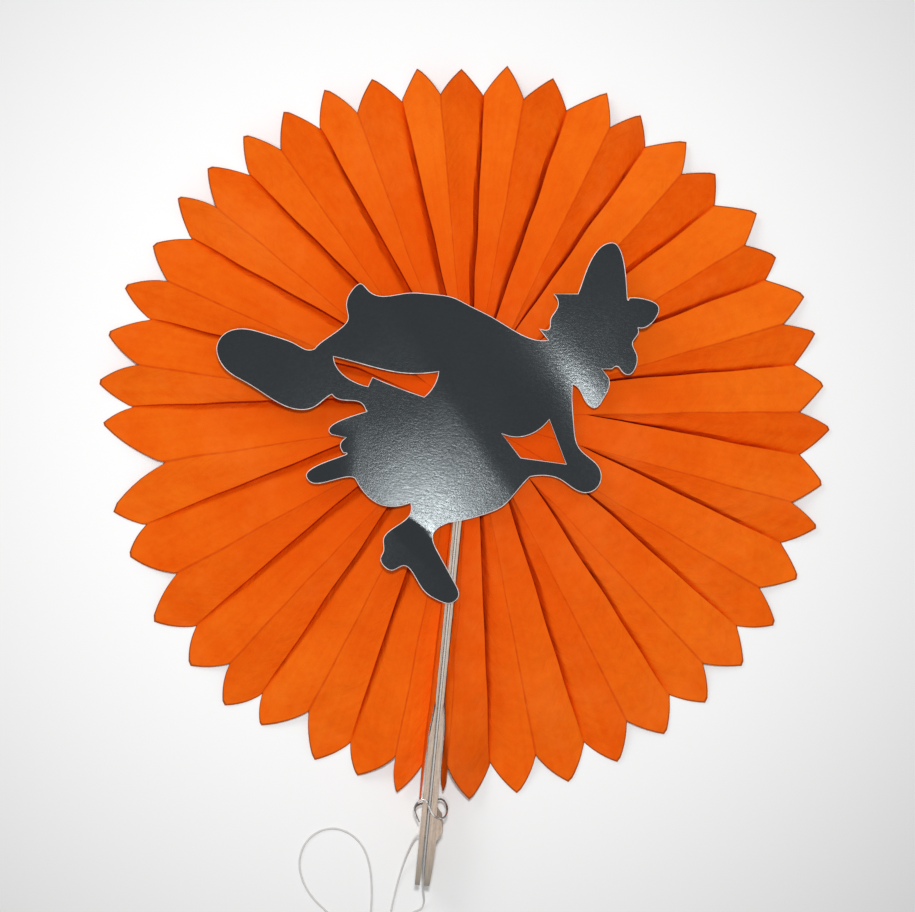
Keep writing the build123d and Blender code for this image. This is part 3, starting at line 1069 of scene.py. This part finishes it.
    def point(self, number: int, share: float, along: float) -> Vector:
        """A point of the bent sheet at a share across a panel and along its folds.

        Args:
            number: the panel's number.
            share: the share across it.
            along: the share along its folds, 1 at the rim.

        Returns:
            The point.
        """
        flat = self.ray(number, share, along)
        top = self.ray(number, 1.0 if number % 2 == 0 else 0.0, along)
        low = self.ray(number, 0.0 if number % 2 == 0 else 1.0, along)
        down = 1 - share if number % 2 == 0 else share
        fall = (low.z - top.z) * (1 - self.depth * clamp(1 - along))
        if number == 0 or number > len(self.openings) - 3:
            fall *= self.end_depth
        flat.z = top.z + fall * self.profile(number, down, along)
        fade = 4 * share * (1 - share)
        reach = clamp((along - 0.05) / 0.3)
        wave = noise.noise(Vector((flat.x * 38, flat.y * 38, number * 5.3)))
        crumple = noise.noise(Vector((flat.x * 120, flat.y * 120, number * 2.1)))
        uneven = self.wave_size * wave + self.crumple_size * crumple
        flat.z += fade * reach * uneven * min(1.0, (top.z - low.z) / self.full_relief)
        if number in (0, len(self.openings) - 1):
            near = share if number else 1 - share
            held = clamp((flat.y + self.held_end) / self.held_run)
            wider = clamp((self.slim_end - flat.y) / self.slim_run)
            side = self.board_side + self.built_up * wider
            flat.x += ((-side if number else side) - flat.x) * near * held
        else:
            sway = noise.noise(Vector((along * 7, number + share, 9.0)))
            side = self.polar(1.0, self.turns[number] + 90)
            flat += side * (self.sway_size * sway * reach)
        return flat

    def build(self) -> None:
        """Fold a grid into the sheet, cut it to petals and give it its thickness."""
        panels = len(self.openings)
        wide = panels * self.columns
        bpy.ops.mesh.primitive_grid_add(x_subdivisions=wide, y_subdivisions=self.rows, size=2)
        piece = bpy.context.active_object
        piece.name = "folded_paper"
        mesh = piece.data
        mesh.uv_layers[0].name = "Sheet"
        ends = {}
        places = {}
        for vertex in mesh.vertices:
            place = round((vertex.co.x + 1) / 2 * wide)
            row = round((vertex.co.y + 1) / 2 * self.rows)
            number = min(place // self.columns, panels - 1)
            share = self.across(number, place - number * self.columns)
            if place not in ends:
                ends[place] = self.cut_along(number, share)
            outward = 1 - (1 - row / self.rows) ** self.row_crowding
            places[vertex.index] = (number + share, outward)
            vertex.co = self.point(number, share, ends[place] * outward)
        for corner, layer in zip(mesh.loops, mesh.uv_layers[0].data):
            layer.uv = places[corner.vertex_index]
        lowest = min(vertex.co.z for vertex in mesh.vertices) - self.thickness / 2
        move_vertices(piece, lambda place: place + UP * (self.lift - lowest))
        apply_modifier(piece, "SOLIDIFY", thickness=self.thickness, offset=0.0,
                       use_quality_normals=True)
        shade(piece, OrangePaper().material(), angle=50)
        seat(piece, "pleated_paper")


# The guards


@dataclass
class Guard:
    """One greyboard guard, with softened and slightly ragged edges.

    Its thin part is drawn a little wider than the solid's.
    """

    node: str
    name: str
    bevel: float = 0.06 * MM
    slice_length: float = 3.0 * MM
    ragged: float = 0.10 * MM
    slim_end: float = -114 * MM
    spread: float = 0.28 * MM
    skin: float = 0.6 * MM
    top_band: float = 0.5 * MM

    def build(self) -> None:
        """Shape the guard and dress it."""
        piece = board_copy(self.node, self.name)
        low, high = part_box(self.node)
        apply_modifier(piece, "BEVEL", width=self.bevel, segments=1, limit_method="ANGLE",
                       angle_limit=math.radians(40))
        slice_piece(piece, 1, low[1], high[1], self.slice_length)
        slice_piece(piece, 2, low[2], high[2], self.slice_length)
        inner = min(abs(low[0]), abs(high[0]))

        def fray(place: Vector) -> Vector:
            """Roughen the outer side and the upper edge.

            Args:
                place: a place on the guard.

            Returns:
                Its new place.
            """
            rough = noise.noise(place * 420) + 0.5 * noise.noise(place * 1300)
            outside = 1.0 if abs(place.x) > inner + self.skin else 0.0
            direction = 1.0 if place.x > 0 else -1.0
            place.x -= direction * outside * self.ragged * (0.5 + rough)
            if place.y > self.slim_end:
                place.x += direction * outside * self.spread
            if place.z > high[2] - self.top_band:
                place.z -= self.ragged * (0.5 + 0.8 * abs(rough))
            return place

        move_vertices(piece, fray)
        shade(piece, Greyboard().material(), angle=35)
        seat(piece, self.node)


# The split ring


@dataclass
class SplitRing:
    """A ring of spring wire, sprung askew over the guards."""

    wire: float = 0.9 * MM
    drawn_share: float = 1.12
    step: float = 0.25 * MM
    width: float = 13.5
    centre_y: float = -155.0
    low: float = 10.5
    rise: float = 10.0
    shares: Sequence[Place] = (
        (-0.27, -0.60, 0.30), (-0.39, -0.38, 0.38), (-0.46, -0.13, 0.68), (-0.35, 0.13, 1.00),
        (-0.15, 0.24, 1.00), (0.00, -0.03, 1.00), (0.13, -0.27, 1.00), (0.39, -0.35, 1.00),
        (0.56, -0.24, 0.80), (0.55, -0.03, 0.33), (0.39, 0.15, 0.06), (0.21, 0.10, 0.00),
        (-0.22, -0.06, 0.00), (-0.38, -0.11, 0.12), (-0.46, -0.20, 0.28),
    )

    def build(self) -> None:
        """Bend the wire and dress it."""
        route = [(x * self.width, y * self.width + self.centre_y, self.low + z * self.rise)
                 for x, y, z in self.shares]
        points = even_points(smooth_route("ring_line", route, 16), self.step)
        piece = wound_tube("wire_ring", points, self.wire / 2 * self.drawn_share)
        apply_modifier(piece, "SUBSURF", levels=1, render_levels=1)
        shade(piece, RingSteel().material(), angle=70)
        seat(piece, "split_ring")


# The card figure


@dataclass
class CardFigure:
    """The figure cut from black card, slightly warped, with its white core at the cut."""

    slope_width: float = 0.27 * MM
    slope_depth: float = 0.2 * MM
    slice_length: float = 2.5 * MM
    waviness: float = 0.12 * MM
    merge: float = 0.05 * MM
    bend_place: tuple[float, float] = (-13.4, 13.7)
    bend_normal: tuple[float, float] = (0.769, 0.639)
    bend_slopes: Sequence[tuple[float, float]] = (
        (0.0, 0.0), (6.0, -0.045), (26.0, -0.045), (36.0, 0.0), (50.0, 0.10), (60.0, 0.07),
        (110.0, 0.05),
    )
    finger_edge: float = -43.5
    finger_slope: float = 0.08
    finger_run: float = 16.0
    finger_fade: float = 8.0
    boot_edge: float = 4.0
    boot_start: tuple[float, float] = (-14.2, -41.2)
    boot_normal: tuple[float, float] = (0.67, 0.74)
    boot_run: float = 10.0
    skirt_end: float = -36.5
    skirt_run: float = 6.0
    boot_twist: float = 0.11

    def rise(self, along: float) -> float:
        """The height, in millimetres, at a distance past the soft bend across the card.

        Args:
            along: the distance, in millimetres.

        Returns:
            The height.
        """
        height = 0.0
        for (before, first), (after, last) in zip(self.bend_slopes, self.bend_slopes[1:]):
            reached = min(max(along - before, 0.0), after - before)
            share = reached / (after - before)
            height += reached * (first + (last - first) * share / 2)
        return height

    def lift(self, across: float, up: float) -> float:
        """The card's lift at a place: a dip beside the bend, and ends that curl.

        Args:
            across: the place's x, in metres.
            up: the place's y, in metres.

        Returns:
            The lift, in metres.
        """
        x, y = across / MM, up / MM
        past = (x - self.bend_place[0]) * self.bend_normal[0]
        past += (y - self.bend_place[1]) * self.bend_normal[1]
        height = self.rise(past)
        out = max(self.finger_edge - x, 0.0)
        curled = self.finger_slope * out * min(out / self.finger_run, 1.0)
        height -= curled * clamp(-y / self.finger_fade)
        down = (self.boot_start[1] - y) * self.boot_normal[1]
        down += (self.boot_start[0] - x) * self.boot_normal[0]
        down = clamp(down / self.boot_run) * clamp((self.skirt_end - y) / self.skirt_run)
        height += self.boot_twist * down * down * (3 - 2 * down) * max(self.boot_edge - x, 0.0)
        wave = 0.5 + 0.5 * noise.noise(Vector((across * 30, up * 30, 3.0)))
        return height * MM + self.waviness * wave

    def smooth_faces(self, piece: Piece, upper: list[bool]) -> None:
        """Give the card's two faces the normals of its bend, so that no triangle shows.

        Args:
            piece: the card.
            upper: whether each face looks up.
        """
        mesh, step = piece.data, 0.5 * MM
        normals = [corner.vector.copy() for corner in mesh.corner_normals]
        for face in mesh.polygons:
            if face.material_index:
                continue
            side = 1 if upper[face.index] else -1
            for loop in face.loop_indices:
                x, y, _ = mesh.vertices[mesh.loops[loop].vertex_index].co
                slope = Vector((self.lift(x - step, y) - self.lift(x + step, y),
                                self.lift(x, y - step) - self.lift(x, y + step), 2 * step))
                normals[loop] = slope.normalized() * side
        mesh.normals_split_custom_set(normals)

    def slope_top(self, piece: Piece, top: float) -> None:
        """Slope the cut just below the upper face, where the white core shows.

        Args:
            piece: the card.
            top: the height of its upper face.
        """
        activate(piece)
        bpy.ops.object.mode_set(mode="EDIT")
        bpy.ops.mesh.select_mode(type="FACE")
        bpy.ops.mesh.select_all(action="DESELECT")
        bpy.ops.object.mode_set(mode="OBJECT")
        near_top = top - 0.05 * MM
        for face in piece.data.polygons:
            face.select = face.normal.z > 0.9 and face.center.z > near_top
        bpy.ops.object.mode_set(mode="EDIT")
        bpy.ops.mesh.inset(thickness=self.slope_width, use_boundary=True, use_even_offset=False)
        bpy.ops.object.mode_set(mode="OBJECT")
        for vertex in piece.data.vertices:
            if vertex.co.z > near_top and not vertex.select:
                vertex.co.z -= self.slope_depth
        bpy.ops.object.mode_set(mode="EDIT")
        bpy.ops.mesh.region_to_loop()
        bpy.ops.mesh.mark_sharp()
        bpy.ops.object.mode_set(mode="OBJECT")

    def build(self) -> None:
        """Cut, bevel and warp the card, and dress its faces and its cut edge."""
        piece = board_copy("figure_card", "cut_figure", self.merge)
        low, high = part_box("figure_card")
        self.slope_top(piece, high[2])
        slice_piece(piece, 0, low[0], high[0], self.slice_length)
        slice_piece(piece, 1, low[1], high[1], self.slice_length)
        with editing(piece):
            bpy.ops.mesh.quads_convert_to_tris(quad_method="BEAUTY", ngon_method="BEAUTY")
        shade(piece, BlackCard().material(), WhiteCore().material(), angle=35)
        for face in piece.data.polygons:
            heights = [piece.data.vertices[corner].co.z for corner in face.vertices]
            face.material_index = 0 if max(heights) - min(heights) < self.slope_depth / 2 else 1
        upper = [face.center.z > (low[2] + high[2]) / 2 for face in piece.data.polygons]
        move_vertices(piece, lambda place: place + UP * self.lift(place.x, place.y))
        self.smooth_faces(piece, upper)
        seat(piece, "figure_card")


def main() -> None:
    """Build the studio and every piece in order."""
    studio = Studio()
    studio.build_camera()
    HangingString().build()
    PleatedSheet().build()
    Guard("guard_left", "left_guard").build()
    Guard("guard_right", "right_guard").build()
    SplitRing().build()
    CardFigure().build()
    studio.build_table()
    studio.light()
    bpy.context.view_layer.update()


if __name__ == "__main__":
    main()
